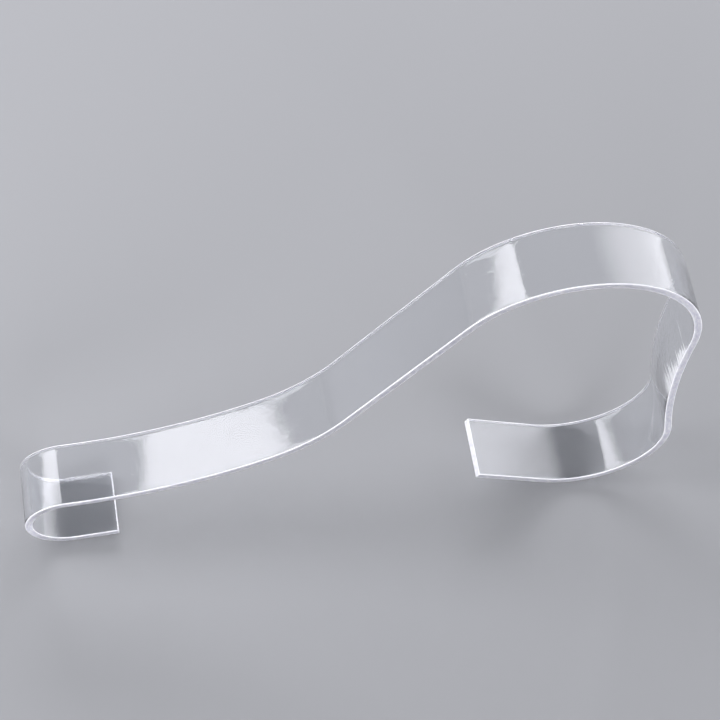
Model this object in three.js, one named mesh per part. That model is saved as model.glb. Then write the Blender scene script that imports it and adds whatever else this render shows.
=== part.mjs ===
// Clear acrylic shoe-display strip: one flat bar of sheet, heat-bent into a hook, a long rising
// span, a round crest and a curled-back foot. It is a single piece with no moving joint.
// Units are millimetres, angles are degrees. X runs from the hook to the crest, Y across the
// strip's width, Z up. The strip stands on z = 0 and is centred on x = 0 and y = 0.

import * as THREE from 'three';

// ---- Sheet ------------------------------------------------------------------------------------
const WIDTH = 25;         // width of the cut strip, along Y
const THICKNESS = 2.9;    // nominal 3 mm sheet, which measures a little under its name

// ---- Centreline, in order from the free end under the hook to the free end of the foot ---------
// Radii are to the middle of the sheet. A negative angle turns clockwise as seen from -Y, which
// is the way the hook, the crest and the foot curl. The shallow bends between them (span, dip and
// wall) turn the other way.
const TAB_LENGTH = 17.4;       // short flat return under the hook
const HOOK_RADIUS = 15.6;
const HOOK_ANGLE = -182.5;     // a little past half a turn, so the hook closes slightly
const SPAN_RADIUS = 182;       // long, barely curved lower span
const SPAN_ANGLE = 25;
const DIP_RADIUS = 72;         // sharper bend where the span turns up into the ramp
const DIP_ANGLE = 30;
const RAMP_LENGTH = 71;        // flat ramp up to the crest
const CREST_RADIUS = 47;
const CREST_ANGLE = -150.8;
const WALL_RADIUS = 242;       // back wall, bowed gently inwards
const WALL_ANGLE = 16;
const FOOT_RADIUS = 32.4;
const FOOT_ANGLE = -125;
const END_LENGTH = 31.2;       // flat end of the foot, pointing up into the loop

const MAX_SAG = 0.02;          // largest gap between a bend and the facets that draw it

const rad = (degrees) => degrees * Math.PI / 180;

// Walks the centreline as stations {x, z, heading}. It starts heading along -X, and is turned
// to its standing attitude afterwards.
const stations = [{ x: 0, z: 0, heading: Math.PI }];
const last = () => stations[stations.length - 1];

function straight(length) {
  const from = last();
  stations.push({
    x: from.x + length * Math.cos(from.heading),
    z: from.z + length * Math.sin(from.heading),
    heading: from.heading,
  });
}

// Adds one bend and returns its centre and radius.
function bend(radius, degrees) {
  const from = last();
  const side = Math.sign(degrees);
  const centre = {
    x: from.x - side * radius * Math.sin(from.heading),
    z: from.z + side * radius * Math.cos(from.heading),
    radius,
  };
  const turn = rad(degrees);
  const steps = Math.ceil(Math.abs(turn) / (2 * Math.acos(1 - MAX_SAG / radius)));
  for (let i = 1; i <= steps; i++) {
    const heading = from.heading + turn * i / steps;
    stations.push({
      x: centre.x + side * radius * Math.sin(heading),
      z: centre.z - side * radius * Math.cos(heading),
      heading,
    });
  }
  return centre;
}

straight(TAB_LENGTH);
const hook = bend(HOOK_RADIUS, HOOK_ANGLE);
bend(SPAN_RADIUS, SPAN_ANGLE);
bend(DIP_RADIUS, DIP_ANGLE);
straight(RAMP_LENGTH);
bend(CREST_RADIUS, CREST_ANGLE);
bend(WALL_RADIUS, WALL_ANGLE);
const foot = bend(FOOT_RADIUS, FOOT_ANGLE);
straight(END_LENGTH);

// The strip stands on the outside of the hook and of the foot bend, so the floor is the line
// that touches both of those circles from below. The whole profile turns to bring it level.
const across = Math.hypot(foot.x - hook.x, foot.z - hook.z);
const floorSlope = Math.atan2(foot.z - hook.z, foot.x - hook.x)
  - Math.asin((foot.radius - hook.radius) / across);

const half = THICKNESS / 2;
const level = (x, z) => new THREE.Vector2(
  x * Math.cos(floorSlope) + z * Math.sin(floorSlope),
  z * Math.cos(floorSlope) - x * Math.sin(floorSlope),
);

// Point of the sheet at a station, off to the left of the heading (the outside of the hook, crest
// and foot) or, with a negative offset, to the right.
const beside = (s, offset) => level(
  s.x - offset * Math.sin(s.heading),
  s.z + offset * Math.cos(s.heading),
);

const outline = [
  ...stations.map((s) => beside(s, half)),
  ...stations.map((s) => beside(s, -half)).reverse(),
];

// ---- Solid: the outline extruded across the width, stood on the floor and centred --------------
const geometry = new THREE.ExtrudeGeometry(new THREE.Shape(outline), {
  depth: WIDTH,
  bevelEnabled: false,
});
geometry.rotateX(Math.PI / 2);    // the outline's second axis becomes Z
geometry.computeBoundingBox();
const { min, max } = geometry.boundingBox;
geometry.translate(-(min.x + max.x) / 2, WIDTH / 2, -min.z);

const clearAcrylic = new THREE.MeshStandardMaterial({
  color: 0xe6ebf0,
  roughness: 0.06,
  metalness: 0,
  transparent: true,
  opacity: 0.35,
});

const strip = new THREE.Mesh(geometry, clearAcrylic);
strip.name = 'display_strip';

const group = new THREE.Group();
group.name = 'acrylic_display_strip';
group.add(strip);

export default group;
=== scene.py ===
"""Looks for the clear acrylic display strip: a fine mesh of the heat-bent blank with polished faces
and frosted saw-cut edges, on a plain floor between softboxes. Metres and radians, +Z up."""

import math

import bpy
import numpy as np
from mathutils import Matrix, Vector


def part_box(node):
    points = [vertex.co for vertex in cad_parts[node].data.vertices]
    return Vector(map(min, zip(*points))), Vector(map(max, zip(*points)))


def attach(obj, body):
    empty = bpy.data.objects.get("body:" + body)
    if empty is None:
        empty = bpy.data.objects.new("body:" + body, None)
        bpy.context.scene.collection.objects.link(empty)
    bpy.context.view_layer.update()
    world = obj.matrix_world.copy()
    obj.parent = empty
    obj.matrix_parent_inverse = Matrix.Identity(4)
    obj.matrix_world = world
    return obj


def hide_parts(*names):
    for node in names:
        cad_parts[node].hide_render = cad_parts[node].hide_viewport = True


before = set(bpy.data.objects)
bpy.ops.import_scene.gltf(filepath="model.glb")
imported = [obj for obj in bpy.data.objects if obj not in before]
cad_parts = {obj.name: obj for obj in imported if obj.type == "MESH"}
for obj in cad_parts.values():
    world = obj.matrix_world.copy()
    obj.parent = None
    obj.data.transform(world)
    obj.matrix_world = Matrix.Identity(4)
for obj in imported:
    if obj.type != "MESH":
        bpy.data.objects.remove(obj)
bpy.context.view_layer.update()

MM = 0.001
NODE = "display_strip"

# ---- The blank and its bends, as in the CAD model ------------------------------------------------
LOW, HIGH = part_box(NODE)
WIDTH = HIGH.y - LOW.y
THICKNESS = 2.9 * MM
# From the free end under the hook to the free end of the foot: (length,) is a flat stretch and
# (radius, degrees) a bend, clockwise seen from -Y where the angle is negative.
COURSE = (
    (17.4 * MM,),            # tab
    (15.6 * MM, -182.5),     # hook
    (182.0 * MM, 25.0),      # span
    (72.0 * MM, 30.0),       # dip
    (71.0 * MM,),            # ramp
    (47.0 * MM, -150.8),     # crest
    (242.0 * MM, 16.0),      # wall
    (32.4 * MM, -125.0),     # foot
    (31.2 * MM,),            # end
)
TAB_RISE = math.radians(4.4256)   # the tab climbs this much towards its free end


def leg_length(leg):
    """Centreline length of one leg of the course."""
    return leg[0] if len(leg) == 1 else leg[0] * math.radians(abs(leg[1]))


LENGTH = sum(leg_length(leg) for leg in COURSE)
WALL_START = sum(leg_length(leg) for leg in COURSE[:6])

# ---- Fine shape ----------------------------------------------------------------------------------
STEP = 0.6 * MM              # mesh step along the strip
COLUMNS = 24                 # mesh steps across each face, between the rounded corners
EDGE_ROWS = 4                # mesh steps down each cut edge, between the rounded corners
CORNER = 0.36 * MM           # radius of the scraped corners
SOFTEN = 1.5 * MM            # half the length over which a bend sets in, where the sheet was heated
WAVE = 0.020 * MM            # unevenness of the faces
ROLL_OFF = (0.05 * MM, 0.12 * MM)   # how far the faces fall away beside the -Y and +Y cut edges
ROLL_WIDTH = 1.2 * MM        # how wide that strip beside each edge is
SAW_WAVE = 0.02 * MM         # unevenness of the cut edges
NICKS = 22                   # small chips knocked out of the long corners
NICK_DEPTH = 0.12 * MM
NICK_SEED = 7
ARC_ROWS = 2                 # mesh rows in each half of a rounded corner
LIGHT_STREAK_STRETCH = (WALL_START, WALL_START + 44 * MM)   # where painted streaks of light run in from -Y
POLISHED, BAND, FROSTED, LIGHT_STREAKED = range(4)   # faces, long cut edges, corners and ends, face with painted streaks of light

# ---- Finish --------------------------------------------------------------------------------------
REFRACTION = 1.49
CLEAR_TINT = (0.972, 0.982, 1.0)
BAND_COLOURS = ((0.70, 0.70, 0.80), (0.97, 0.97, 1.0))     # clearer and milky places
FROST_COLOURS = ((0.80, 0.80, 0.86), (0.98, 0.98, 0.99))   # fresh and worn places
BAND_CLEARNESS = 0.72
FROST_CLEARNESS = 0.15
LIGHT_STREAK_WHITENESS = 0.8        # how much of the clearness the strongest painted streaks of light take away
LIGHT_STREAK_REACH = (3.0, 15.0)    # millimetres that the painted streaks of light run in, at the stretch's two ends
FACE_ROUGHNESS = (0.012, 0.047)      # clean and smudged places
SCRATCH_ROUGHNESS = 0.22             # what a scratch adds to that
BAND_ROUGHNESS = (0.45, 0.7)
FROST_ROUGHNESS = (0.32, 0.6)
FACE_RELIEF = 0.016 * MM
BAND_RELIEF = 0.008 * MM
FROST_RELIEF = 0.03 * MM

# ---- Studio, in metres and degrees ---------------------------------------------------------------
MIDDLE = Vector((0, 0, 0.06))        # near the middle of the strip's box
LAMP_DISTANCE = 1.2
LAMP_TINT = (0.96, 0.955, 1.0)
LAMP_FADE = 0.6                      # share of a fading lamp's height over which it fades
SURROUND_COLOUR = (0.86, 0.87, 0.91)
SURROUND_STRENGTH = 0.5
FLOOR_SIZE = 8.0
FLOOR_COLOURS = ((0.262, 0.266, 0.274), (0.85, 0.86, 0.88))   # under the lamps and far out
FLOOR_BLEND = (1.2, 1.7)             # distances out between which one turns into the other
FLOOR_GAP = 0.1 * MM                 # between the floor and the strip, so that they don't flicker
CAMERA_AIM = Vector((6.13, 21.40, 60.0)) * MM
CAMERA_DISTANCE = 0.80314
CAMERA_AZIMUTH = 197.2
CAMERA_ELEVATION = 60.984
CAMERA_ROLL = 9.0
CAMERA_LENS = 105.34                 # millimetres, on a sensor 36 mm wide


def centreline(s):
    """x, z and heading of the sheet's middle at each distance s from the tab's end."""
    ends = np.cumsum([leg_length(leg) for leg in COURSE])
    bends = [0.0 if len(leg) == 1 else math.copysign(1 / leg[0], leg[1]) for leg in COURSE]
    gap = 0.1 * MM
    fine = np.arange(0, LENGTH + 2 * gap, gap)
    curve = np.full(len(fine), bends[0])
    for end, before, after in zip(ends, bends, bends[1:]):
        curve += (after - before) * (1 + np.tanh((fine - end) / SOFTEN)) / 2

    def running_sum(values):
        return np.concatenate([[0], np.cumsum((values[1:] + values[:-1]) / 2 * gap)])

    heading = math.pi + TAB_RISE + running_sum(curve)
    x = running_sum(np.cos(heading))
    z = running_sum(np.sin(heading))
    return [np.interp(s, fine, values) for values in (x, z, heading)]


def grid_lines(half, steps):
    """Lattice lines over one side of the blank, with the extra ones for its rounded corners."""
    flat = np.linspace(CORNER - half, half - CORNER, steps + 1)
    arc = np.array([math.tan(math.radians(22.5)), 1.0]) * CORNER
    return np.concatenate([flat[0] - arc[::-1], flat, flat[-1] + arc])


def blank():
    """The flat blank with rounded corners: points (s, across, up), quads and their surfaces."""
    lines = (
        grid_lines(LENGTH / 2, round(LENGTH / STEP)),
        grid_lines(WIDTH / 2, COLUMNS),
        grid_lines(THICKNESS / 2, EDGE_ROWS),
    )
    last = [len(line) - 1 for line in lines]
    index = {}
    points, quads, surfaces = [], [], []

    def point(i, j, k):
        if (i, j, k) not in index:
            index[i, j, k] = len(points)
            points.append((lines[0][i], lines[1][j], lines[2][k]))
        return index[i, j, k]

    for axis in range(3):
        u, v = (axis + 1) % 3, (axis + 2) % 3
        for side in (0, last[axis]):
            for a in range(last[u]):
                for b in range(last[v]):
                    quad = []
                    for da, db in ((0, 0), (1, 0), (1, 1), (0, 1)):
                        place = [0, 0, 0]
                        place[axis], place[u], place[v] = side, a + da, b + db
                        quad.append(point(*place))
                    quads.append(quad if side else quad[::-1])
                    corner = min(a, b, last[u] - 1 - a, last[v] - 1 - b) < ARC_ROWS
                    surfaces.append(FROSTED if corner else (FROSTED, BAND, POLISHED)[axis])
    points = np.array(points)

    # The painted streaks of light are on the lower face, inside the loop.
    middles = points[np.array(quads)].mean(axis=1)
    along = middles[:, 0] + LENGTH / 2
    worn = (along > LIGHT_STREAK_STRETCH[0]) & (along < LIGHT_STREAK_STRETCH[1]) & (middles[:, 2] < 0)
    surfaces = np.where(worn & (np.array(surfaces) == POLISHED), LIGHT_STREAKED, surfaces)

    # The outermost points are drawn in to a radius around the core, which rounds the corners.
    core = np.array([LENGTH, WIDTH, THICKNESS]) / 2 - CORNER
    nearest = np.clip(points, -core, core)
    outward = points - nearest
    points = nearest + outward * CORNER / np.linalg.norm(outward, axis=1)[:, None]
    points[:, 0] += LENGTH / 2
    return points, quads, surfaces


def unevenness(s, y, phase):
    """Slow waves that extrusion and heating leave in a face, between 0 and 1."""
    long_wave = np.sin(s / (7.1 * MM) + 1.4 * np.sin(y / (6.3 * MM) + phase) + 1.7 * phase)
    cross_wave = np.sin(s / (3.3 * MM) - y / (3.9 * MM) + 0.7 + 2.9 * phase)
    fine_wave = np.sin(s / (1.9 * MM) + 1.8 * np.sin(y / (2.2 * MM) + phase))
    return 0.5 + 0.28 * long_wave + 0.14 * cross_wave + 0.08 * fine_wave


def saw_wave(s, y, h):
    """How far the saw's wandering and a scatter of chips set the cut edges back."""
    short_wave = np.sin(s / (1.7 * MM) + y)
    long_wave = np.sin(s / (4.9 * MM) + h / MM)
    back = SAW_WAVE * (0.5 + 0.3 * short_wave + 0.2 * long_wave)
    draw = np.random.default_rng(NICK_SEED)
    for _ in range(NICKS):
        where = draw.random() * LENGTH
        side = draw.choice((-1, 1))
        face = draw.choice((-1, 1))
        reach = (0.4 + 0.5 * draw.random()) * MM
        far = np.hypot((s - where) / reach, (h - face * THICKNESS / 2) / (0.7 * reach))
        back += NICK_DEPTH * np.exp(-far ** 2) * (np.sign(y) == side)
    return back


def bent_strip():
    """The blank bent along its course, with its flat coordinates kept for the materials."""
    flat, quads, surfaces = blank()
    s, y, h = flat.T
    x, z, heading = centreline(s)
    on_face = np.clip((np.abs(h) - THICKNESS / 2 + CORNER) / CORNER, 0, 1) * np.sign(h)
    beside_edge = np.exp((np.abs(y) - WIDTH / 2) / ROLL_WIDTH)
    sunk = WAVE * np.where(h > 0, unevenness(s, y, 0), unevenness(s, y, 1.3))
    sunk += np.where(y < 0, *ROLL_OFF) * beside_edge
    y = y - np.sign(y) * (np.abs(y) > WIDTH / 2 - CORNER) * saw_wave(s, y, h)
    lift = h - on_face * sunk
    points = np.stack([x - lift * np.sin(heading), y, z + lift * np.cos(heading)], 1)

    # The softened bends end a few hundredths of a millimetre off, so this fits them to the box.
    low, high = points.min(axis=0), points.max(axis=0)
    points = np.array(LOW) + (points - low) * np.array(HIGH - LOW) / (high - low)

    mesh = bpy.data.meshes.new("bent_strip")
    mesh.from_pydata(points.tolist(), [], quads)
    kept = mesh.attributes.new("flat", "FLOAT_VECTOR", "POINT")
    kept.data.foreach_set("vector", flat.astype(np.float32).ravel())
    for material in (polished_face(), cut_band(), frosted(), light_streaked_face()):
        mesh.materials.append(material)
    mesh.polygons.foreach_set("material_index", surfaces)
    mesh.polygons.foreach_set("use_smooth", [True] * len(quads))
    mesh.update()
    strip = bpy.data.objects.new("bent_strip", mesh)
    bpy.context.scene.collection.objects.link(strip)
    return strip


# ---- Materials -----------------------------------------------------------------------------------
class Nodes:
    """Short calls for building one material's node tree."""

    def __init__(self, name):
        self.material = bpy.data.materials.new(name)
        self.material.use_nodes = True
        self.tree = self.material.node_tree
        self.shader = self.tree.nodes["Principled BSDF"]

    def put(self, socket, value):
        """Links value to the socket, or sets the socket to it where value isn't a socket."""
        if isinstance(value, bpy.types.NodeSocket):
            self.tree.links.new(value, socket)
        else:
            socket.default_value = value

    def node(self, kind, settings=None, **inputs):
        """A new node with its settings made and its named inputs filled."""
        made = self.tree.nodes.new("ShaderNode" + kind)
        for name, value in (settings or {}).items():
            setattr(made, name, value)
        for name, value in inputs.items():
            self.put(made.inputs[name.replace("_", " ")], value)
        return made

    def math(self, operation, a, b=0.0):
        made = self.tree.nodes.new("ShaderNodeMath")
        made.operation = operation
        self.put(made.inputs[0], a)
        self.put(made.inputs[1], b)
        return made.outputs[0]

    def flat(self):
        """The flat blank's coordinates in millimetres: along, across and up."""
        place = self.node("Attribute", {"attribute_name": "flat"}).outputs["Vector"]
        scaled = self.node("VectorMath", {"operation": "SCALE"}, Scale=1 / MM)
        self.put(scaled.inputs[0], place)
        return scaled.outputs[0]

    def stretched(self, place, along, across, up=1.0):
        """place with a texture's features made along, across and up millimetres long."""
        made = self.node("VectorMath", {"operation": "MULTIPLY"})
        self.put(made.inputs[0], place)
        self.put(made.inputs[1], (1 / along, 1 / across, 1 / up))
        return made.outputs[0]

    def noise(self, place, detail=2.0, roughness=0.5, distortion=0.0):
        """Noise between 0 and 1, mostly near 0.5."""
        made = self.node("TexNoise", None, Scale=1.0, Detail=detail, Roughness=roughness)
        self.put(made.inputs["Distortion"], distortion)
        self.put(made.inputs["Vector"], place)
        return made.outputs["Fac"]

    def mix(self, share, first, second):
        """A colour that goes from first to second as share goes from 0 to 1."""
        made = self.node("Mix", {"data_type": "RGBA"})
        self.put(made.inputs["Factor"], share)
        self.put(made.inputs[6], (*first, 1))
        self.put(made.inputs[7], (*second, 1))
        return made.outputs[2]

    def span(self, value, low, high, out_low, out_high):
        """value, as it goes from low to high, taken from out_low to out_high and held there."""
        made = self.node("MapRange")
        for socket, number in zip(made.inputs[:5], (value, low, high, out_low, out_high)):
            self.put(socket, number)
        return made.outputs[0]


def scratches(n, place):
    """Hairlines, 1 where a scratch lies: thin level lines of stretched noise, kept in places."""
    lines = n.noise(n.stretched(place, 9, 1.7), 1, 0.4, 0.3)
    thin = n.span(n.math("ABSOLUTE", n.math("SUBTRACT", lines, 0.5)), 0.0, 0.004, 1.0, 0.0)
    patches = n.span(n.noise(n.stretched(place, 12, 12), 2, 0.5), 0.52, 0.6, 0.0, 1.0)
    return n.math("MULTIPLY", thin, patches)


def gloss(n, place):
    """Clear rolled surface: fine flow lines and orange peel, hairline scratches, a few smudges."""
    n.put(n.shader.inputs["Base Color"], (*CLEAR_TINT, 1))
    n.put(n.shader.inputs["IOR"], REFRACTION)
    smears = n.noise(n.stretched(place, 17, 9), 3, 0.6, 0.8)
    smudges = n.span(smears, 0.55, 0.75, *FACE_ROUGHNESS)
    scratch = scratches(n, place)
    dulled = n.math("MULTIPLY", scratch, SCRATCH_ROUGHNESS)
    n.put(n.shader.inputs["Roughness"], n.math("ADD", smudges, dulled))
    flow_lines = n.noise(n.stretched(place, 3.0, 0.6), 2, 0.55)
    peel = n.noise(n.stretched(place, 2.6, 2.2), 2, 0.5)
    height = n.math("ADD", n.math("MULTIPLY", flow_lines, 1.2), peel)
    height = n.math("SUBTRACT", height, n.math("MULTIPLY", scratch, 0.25))
    bump = n.node("Bump", None, Strength=1.0, Distance=FACE_RELIEF, Height=height)
    n.put(n.shader.inputs["Normal"], bump.outputs[0])


def polished_face():
    """The faces as the rollers left them."""
    n = Nodes("polished_acrylic")
    gloss(n, n.flat())
    n.put(n.shader.inputs["Transmission Weight"], 1.0)
    return n.material


def light_streaked_face():
    """The same face with white streaks painted in from the -Y edge, deeper along the wall: painted
    light, standing in for the bright streaks that light through the sawn edge makes in the sheet.
    """
    n = Nodes("light_streaked_acrylic")
    place = n.flat()
    gloss(n, place)
    along, across, _ = n.node("SeparateXYZ", None, Vector=place).outputs
    start, stop = (end / MM for end in LIGHT_STREAK_STRETCH)
    reach = n.span(along, start, stop, *LIGHT_STREAK_REACH)
    from_edge = n.math("ADD", across, WIDTH / MM / 2)
    near = n.span(n.math("DIVIDE", from_edge, reach), 0.0, 1.0, 0.5, 0.0)
    sets_in = n.span(along, start, start + 5, 0, 1)
    dies_out = n.span(along, stop - 8, stop, 1, 0)
    streaks = n.noise(n.stretched(place, 0.7, 26.0), 1, 0.5)
    marks = n.span(n.math("ADD", streaks, near), 0.72, 0.84, 0.0, 1.0)
    marks = n.math("MULTIPLY", marks, n.math("MULTIPLY", sets_in, dies_out))
    # Taking clearness away lets the white tint show there: painted streaks of light.
    clearness = n.math("SUBTRACT", 1.0, n.math("MULTIPLY", marks, LIGHT_STREAK_WHITENESS))
    n.put(n.shader.inputs["Transmission Weight"], clearness)
    return n.material


def cut_band():
    """The long cut edges: half clear, with saw marks across the thickness and milky blotches."""
    n = Nodes("cut_band")
    place = n.flat()
    blotches = n.span(n.noise(n.stretched(place, 2.4, 2.4, 0.7), 3, 0.65), 0.4, 0.62, 0.0, 1.0)
    n.put(n.shader.inputs["Base Color"], n.mix(blotches, *BAND_COLOURS))
    n.put(n.shader.inputs["Transmission Weight"], BAND_CLEARNESS)
    n.put(n.shader.inputs["IOR"], REFRACTION)
    marks = n.noise(n.stretched(place, 0.9, 0.9, 6.0), 2, 0.5)
    n.put(n.shader.inputs["Roughness"], n.span(marks, 0.3, 0.7, *BAND_ROUGHNESS))
    bump = n.node("Bump", None, Strength=1.0, Distance=BAND_RELIEF, Height=marks)
    n.put(n.shader.inputs["Normal"], bump.outputs[0])
    return n.material


def frosted():
    """The scraped corners and sawn ends: white, matt and slightly grainy."""
    n = Nodes("frosted_acrylic")
    place = n.flat()
    grain = n.noise(n.stretched(place, 0.5, 0.5, 0.5), 3, 0.65)
    wear = n.noise(n.stretched(place, 4.0, 2.0, 2.0), 2, 0.6)
    worn = n.span(wear, 0.35, 0.6, 0.0, 1.0)
    n.put(n.shader.inputs["Base Color"], n.mix(worn, *FROST_COLOURS))
    n.put(n.shader.inputs["Transmission Weight"], FROST_CLEARNESS)
    n.put(n.shader.inputs["IOR"], REFRACTION)
    n.put(n.shader.inputs["Roughness"], n.span(grain, 0.3, 0.7, *FROST_ROUGHNESS))
    bump = n.node("Bump", None, Strength=1.0, Distance=FROST_RELIEF, Height=grain)
    n.put(n.shader.inputs["Normal"], bump.outputs[0])
    return n.material


# ---- Studio --------------------------------------------------------------------------------------
def toward(azimuth, elevation):
    """Unit vector in degrees: azimuth from +Y towards +X, elevation up from the floor."""
    a, e = math.radians(azimuth), math.radians(elevation)
    return Vector((math.sin(a) * math.cos(e), math.cos(a) * math.cos(e), math.sin(e)))


def softbox(name, centre, back, size, radiance, roll=0.0):
    """A rectangular lamp at centre whose back points along back, turned by roll degrees."""
    lamp = bpy.data.lights.new(name, "AREA")
    lamp.shape = "RECTANGLE"
    lamp.size, lamp.size_y = size
    lamp.energy = radiance * math.pi * size[0] * size[1]
    lamp.color = LAMP_TINT
    level = back.cross(Vector((0, 0, 1))).normalized()
    upright = level.cross(back)
    turn = math.radians(roll)
    side = level * math.cos(turn) + upright * math.sin(turn)
    axes = Matrix((side, back.cross(side), back)).transposed()
    box = bpy.data.objects.new(name, lamp)
    box.matrix_world = Matrix.Translation(centre) @ axes.to_4x4()
    box.visible_camera = False
    bpy.context.scene.collection.objects.link(box)
    return box


def fade_upwards(box):
    """Makes a lamp full at its foot, fading to nothing at its top."""
    lamp = box.data
    lamp.use_nodes = True
    tree = lamp.node_tree
    place = tree.nodes.new("ShaderNodeNewGeometry").outputs["Parametric"]
    parts = tree.nodes.new("ShaderNodeSeparateXYZ")
    ramp = tree.nodes.new("ShaderNodeMapRange")
    ramp.interpolation_type = "SMOOTHSTEP"
    ramp.inputs["From Min"].default_value = 0.0
    ramp.inputs["From Max"].default_value = LAMP_FADE
    tree.links.new(place, parts.inputs[0])
    tree.links.new(parts.outputs[1], ramp.inputs["Value"])
    tree.links.new(ramp.outputs[0], tree.nodes["Emission"].inputs["Strength"])


def studio():
    """Five softboxes, which the clear faces and the cut edges mirror, in an even pale surround."""
    # The bright patches on the span, the crest and the foot.
    left = MIDDLE + toward(-69, 37.3) * 0.544
    softbox("left", left, toward(-97.2, 37.1), (0.239, 0.488), 5.4, roll=-17.5)
    # The soft sheen that grows down the crest's right side and over the end of the foot.
    right = toward(60, 0) * 0.85 + Vector((0, 0, 0.64))
    fade_upwards(softbox("right", right, toward(60, 0), (0.9, 1.25), 2.35))
    for name, azimuth, elevation, size, radiance in (
        ("front", 172, 17, (1.0, 0.5), 9.0),     # the cut edge on the -Y side
        ("side", -105, 14, (0.5, 0.4), 7.0),     # the hook and the foot's sawn end
        ("back", 4, 22, (0.9, 0.35), 12.0),      # the cut edge on the +Y side
    ):
        back = toward(azimuth, elevation)
        softbox(name, MIDDLE + back * LAMP_DISTANCE, back, size, radiance)
    world = bpy.data.worlds.new("studio")
    bpy.context.scene.world = world
    world.use_nodes = True
    surround = world.node_tree.nodes["Background"]
    surround.inputs["Color"].default_value = (*SURROUND_COLOUR, 1)
    surround.inputs["Strength"].default_value = SURROUND_STRENGTH


def floor():
    """A wide level floor, lighter far out, where the lamps hardly reach it."""
    half = FLOOR_SIZE / 2
    mesh = bpy.data.meshes.new("floor")
    corners = [(-half, -half, 0), (half, -half, 0), (half, half, 0), (-half, half, 0)]
    mesh.from_pydata(corners, [], [(0, 1, 2, 3)])
    made = bpy.data.objects.new("floor", mesh)
    made.location.z = LOW.z - FLOOR_GAP
    bpy.context.scene.collection.objects.link(made)
    n = Nodes("floor")
    place = n.node("NewGeometry").outputs["Position"]
    distance = n.node("VectorMath", {"operation": "LENGTH"})
    n.put(distance.inputs[0], place)
    far = n.span(distance.outputs["Value"], *FLOOR_BLEND, 0.0, 1.0)
    n.put(n.shader.inputs["Base Color"], n.mix(far, *FLOOR_COLOURS))
    n.put(n.shader.inputs["Roughness"], 0.8)
    mesh.materials.append(n.material)


def camera():
    """A long lens, looking steeply down at the strip from the -Y side and rolled a little."""
    lens = bpy.data.cameras.new("camera")
    lens.sensor_width = 36
    lens.lens = CAMERA_LENS
    back = toward(CAMERA_AZIMUTH, CAMERA_ELEVATION)
    level = (-back).to_track_quat("-Z", "Y").to_matrix().to_4x4()
    roll = Matrix.Rotation(math.radians(CAMERA_ROLL), 4, "Z")
    eye = bpy.data.objects.new("camera", lens)
    eye.matrix_world = Matrix.Translation(CAMERA_AIM + back * CAMERA_DISTANCE) @ level @ roll
    bpy.context.scene.collection.objects.link(eye)
    bpy.context.scene.camera = eye


camera()
strip = bent_strip()
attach(strip, "root")
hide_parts(NODE)
studio()
floor()
bpy.context.scene.view_settings.view_transform = "Standard"
